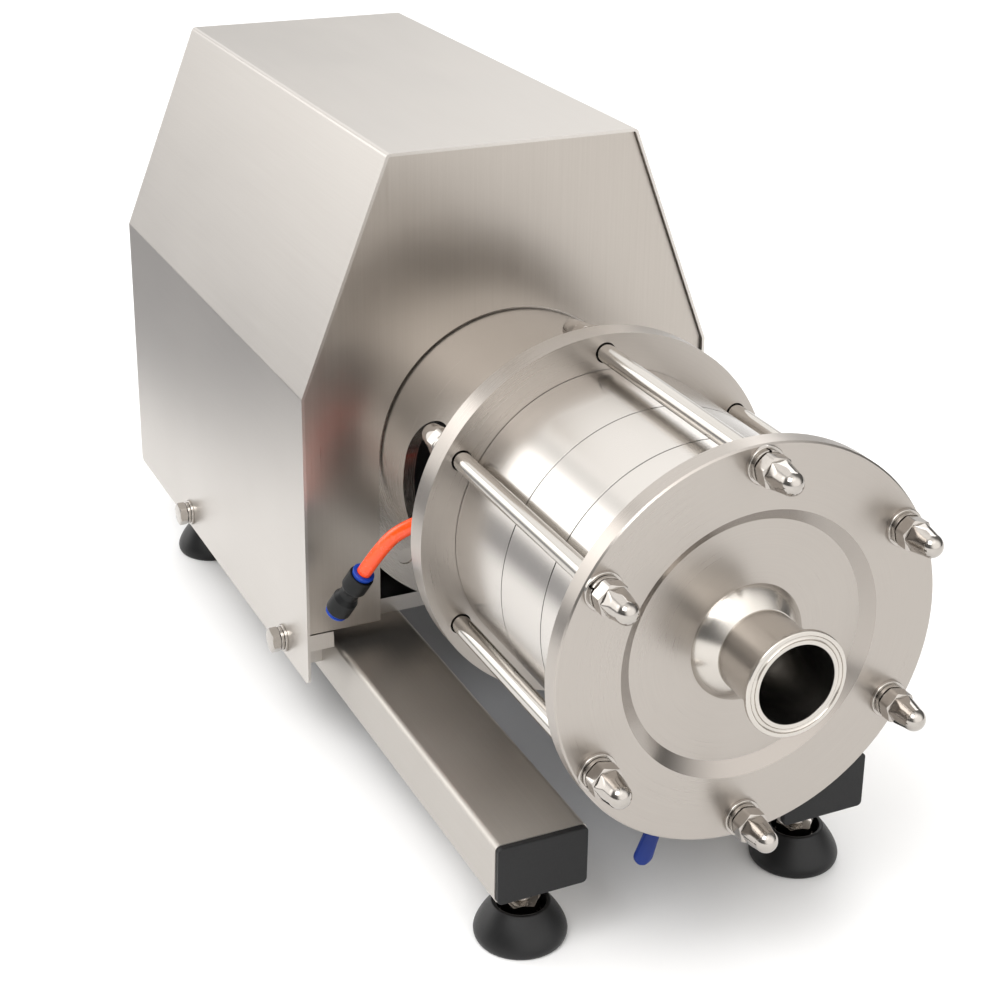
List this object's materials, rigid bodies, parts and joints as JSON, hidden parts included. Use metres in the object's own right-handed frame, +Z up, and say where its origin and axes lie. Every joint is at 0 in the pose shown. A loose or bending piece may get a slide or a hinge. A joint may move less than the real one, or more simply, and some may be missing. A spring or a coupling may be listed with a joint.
{
  "type": "three-stage emulsifying pump",
  "caption": "Inline rotor-stator emulsifying pump with clamped stages, clamp ports and a seal flush line, on a rail frame with levelling feet and a faceted motor hood.",
  "frame": {"origin": "on the floor, at the centre of the machine's footprint", "axes": "+X to the outlet side, +Y along the shaft from the inlet to the rear of the hood, +Z up"},
  "size_m": [0.3236, 0.782, 0.432],
  "materials": {
    "satin_stainless": "brushed and satin-ground stainless steel",
    "polished_stainless": "polished stainless steel",
    "black_plastic": "moulded black polyamide",
    "orange_tube": "extruded orange polyurethane",
    "blue_plastic": "blue dipped grip",
    "motor_paint": "grey painted aluminium casting",
    "painted_sheet": "grey painted pressed sheet",
    "bearing_steel": "ground bearing steel",
    "core_steel": "laminated and machined steel",
    "seal_faces": "lapped seal faces on a stainless sleeve",
    "black_rubber": "black elastomer"
  },
  "bodies": {
    "frame": {"rail_left": "satin_stainless", "rail_right": "satin_stainless", "base_plate": "satin_stainless", "front_flange": "satin_stainless", "rear_flange": "satin_stainless", "stage_housing_1": "satin_stainless", "stage_housing_2": "satin_stainless", "stage_housing_3": "satin_stainless", "stator_ring_1": "satin_stainless", "stator_ring_2": "satin_stainless", "stator_ring_3": "satin_stainless", "lantern": "satin_stainless", "hood_shell": "satin_stainless", "hood_front_panel": "satin_stainless", "hood_rear_panel": "satin_stainless", "seal_gland": "satin_stainless", "inlet_port": "polished_stainless", "outlet_port": "polished_stainless", "tie_rods": "polished_stainless", "tie_rod_nuts": "polished_stainless", "tie_rod_cap_nuts": "polished_stainless", "tie_rod_washers": "polished_stainless", "foot_lock_nuts": "polished_stainless", "hood_bolts": "polished_stainless", "lantern_bolts": "polished_stainless", "motor_foot_bolts": "polished_stainless", "flush_fitting": "polished_stainless", "drain_valve_body": "polished_stainless", "rail_end_caps": "black_plastic", "flush_union": "black_plastic", "flush_tube": "orange_tube", "motor_housing": "motor_paint", "motor_front_shield": "motor_paint", "motor_rear_shield": "motor_paint", "terminal_box": "motor_paint", "terminal_box_lid": "motor_paint", "fan_cowl": "painted_sheet", "bearing_outer_races": "bearing_steel", "motor_stator": "core_steel", "seal_stationary": "seal_faces", "casing_o_rings": "black_rubber"},
    "rotating_group": {"motor_rotor": "core_steel", "bearing_inner_races": "bearing_steel", "fan": "black_plastic", "pump_shaft": "satin_stainless", "clamp_collar": "satin_stainless", "rotor_1": "satin_stainless", "rotor_2": "satin_stainless", "rotor_3": "satin_stainless", "rotor_nut": "polished_stainless", "seal_rotating": "seal_faces"},
    "foot_front_left": {"foot_pad_front_left": "black_plastic", "foot_stud_front_left": "polished_stainless"},
    "foot_front_right": {"foot_pad_front_right": "black_plastic", "foot_stud_front_right": "polished_stainless"},
    "foot_rear_left": {"foot_pad_rear_left": "black_plastic", "foot_stud_rear_left": "polished_stainless"},
    "foot_rear_right": {"foot_pad_rear_right": "black_plastic", "foot_stud_rear_right": "polished_stainless"},
    "drain_handle": {"drain_lever": "blue_plastic"}
  },
  "joints": [
    {"name": "shaft_spin", "type": "hinge", "parent": "frame", "child": "rotating_group", "pos_m": [0, 0, 0.22], "axis": [0, 1, 0], "continuous": true},
    {"name": "foot_front_left_height", "type": "slide", "parent": "frame", "child": "foot_front_left", "axis": [0, 0, -1], "range_m": [0, 0.02]},
    {"name": "foot_front_right_height", "type": "slide", "parent": "frame", "child": "foot_front_right", "axis": [0, 0, -1], "range_m": [0, 0.02]},
    {"name": "foot_rear_left_height", "type": "slide", "parent": "frame", "child": "foot_rear_left", "axis": [0, 0, -1], "range_m": [0, 0.02]},
    {"name": "foot_rear_right_height", "type": "slide", "parent": "frame", "child": "foot_rear_right", "axis": [0, 0, -1], "range_m": [0, 0.02]},
    {"name": "drain_valve_turn", "type": "hinge", "parent": "frame", "child": "drain_handle", "pos_m": [-0.03899, -0.30675, 0.11288], "axis": [0, 1, 0], "range_deg": [0, 90]}
  ]
}
